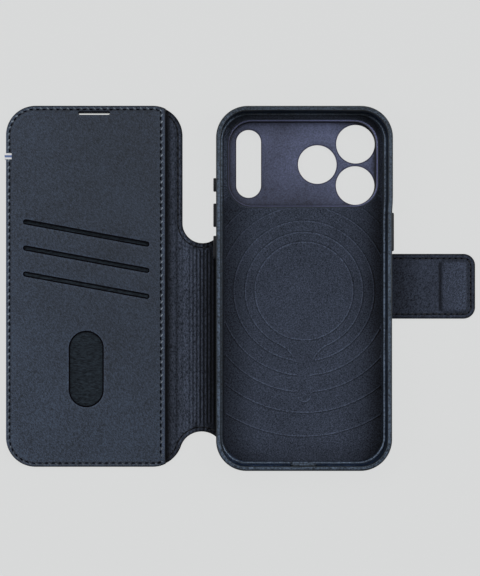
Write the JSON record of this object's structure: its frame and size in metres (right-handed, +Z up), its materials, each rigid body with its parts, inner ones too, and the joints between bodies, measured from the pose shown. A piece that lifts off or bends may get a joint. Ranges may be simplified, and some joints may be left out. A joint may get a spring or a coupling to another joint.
{
  "type": "phone wallet case",
  "caption": "Leather folio phone case lying open: card flap, ribbed spine, magnetic strap and a lift-off phone shell.",
  "frame": {"origin": "middle of the bounding box, on the surface that the open case lies on", "axes": "+Z up out of the open case, +Y to the camera end of the phone, +X to the closing strap"},
  "size_m": [0.2228, 0.171, 0.0139],
  "materials": {
    "outer_leather": "fine-grained navy leather, low sheen",
    "wallet_leather": "smooth navy leather with a burnished edge",
    "shell_leather": "fine-grained navy leather, satin",
    "inner_lining": "dark suede",
    "microfibre": "matt embossed microfibre",
    "pocket_cloth": "thin black pocket cloth",
    "stiffener": "plain board",
    "magnet": "nickel-plated",
    "closure_steel": "zinc-plated",
    "light_thread": "twisted slate thread",
    "dark_thread": "twisted black thread",
    "woven_tag": "woven ribbon in plain stripes",
    "frame_plastic": "matt moulded polymer",
    "camera_plate": "satin anodised, indigo",
    "button_metal": "satin anodised, near black"
  },
  "bodies": {
    "rear_panel": {"rear_leather": "outer_leather", "rear_board": "stiffener", "rear_lining": "inner_lining", "rear_magnet_ring": "magnet", "rear_alignment_magnet": "magnet", "rear_thread": "dark_thread"},
    "spine": {"spine_leather": "outer_leather", "spine_ribbed_lining": "inner_lining", "spine_thread": "dark_thread"},
    "flap": {"flap_leather": "outer_leather", "flap_board": "stiffener", "flap_lining": "inner_lining", "flap_closure_plate": "closure_steel", "card_pocket_upper": "pocket_cloth", "card_pocket_middle": "pocket_cloth", "card_pocket_lower": "pocket_cloth", "wallet_panel": "wallet_leather", "flap_thread": "light_thread", "pocket_mouth_thread": "light_thread", "woven_tag": "woven_tag"},
    "strap_side": {"strap_side_leather": "outer_leather", "strap_side_lining": "inner_lining", "strap_side_thread": "dark_thread"},
    "strap_tip": {"strap_tip_leather": "outer_leather", "strap_tip_lining": "inner_lining", "strap_tip_thread": "dark_thread", "strap_magnet": "magnet"},
    "phone_shell": {"shell_frame": "frame_plastic", "shell_leather": "shell_leather", "shell_lining": "microfibre", "shell_magnet_ring": "magnet", "shell_alignment_magnet": "magnet", "camera_plate": "camera_plate", "camera_guard": "frame_plastic"},
    "action_button": {"action_button": "button_metal"},
    "volume_up_button": {"volume_up_button": "button_metal"},
    "volume_down_button": {"volume_down_button": "button_metal"},
    "side_button": {"side_button": "button_metal"}
  },
  "joints": [
    {"name": "spine_fold", "type": "hinge", "parent": "rear_panel", "child": "spine", "pos_m": [-0.0132, 0, 0.0015], "axis": [0, 1, 0], "range_deg": [0, 90]},
    {"name": "flap_fold", "type": "hinge", "parent": "spine", "child": "flap", "pos_m": [-0.0282, 0, 0.0015], "axis": [0, 1, 0], "range_deg": [0, 90]},
    {"name": "strap_side_fold", "type": "hinge", "parent": "rear_panel", "child": "strap_side", "pos_m": [0.0712, 0, 0.0015], "axis": [0, -1, 0], "range_deg": [0, 90]},
    {"name": "strap_tip_fold", "type": "hinge", "parent": "strap_side", "child": "strap_tip", "pos_m": [0.0892, 0, 0.0015], "axis": [0, -1, 0], "range_deg": [0, 90]},
    {"name": "shell_slide", "type": "slide", "parent": "rear_panel", "child": "phone_shell", "axis": [0, 1, 0], "range_m": [0, 0.06]},
    {"name": "action_press", "type": "slide", "parent": "phone_shell", "child": "action_button", "axis": [1, 0, 0], "range_m": [0, 0.0003], "stiffness_N_per_m": 300, "springref_m": -0.0004},
    {"name": "volume_up_press", "type": "slide", "parent": "phone_shell", "child": "volume_up_button", "axis": [1, 0, 0], "range_m": [0, 0.0003], "stiffness_N_per_m": 300, "springref_m": -0.0004},
    {"name": "volume_down_press", "type": "slide", "parent": "phone_shell", "child": "volume_down_button", "axis": [1, 0, 0], "range_m": [0, 0.0003], "stiffness_N_per_m": 300, "springref_m": -0.0004},
    {"name": "side_press", "type": "slide", "parent": "phone_shell", "child": "side_button", "axis": [-1, 0, 0], "range_m": [0, 0.0003], "stiffness_N_per_m": 300, "springref_m": -0.0004}
  ]
}
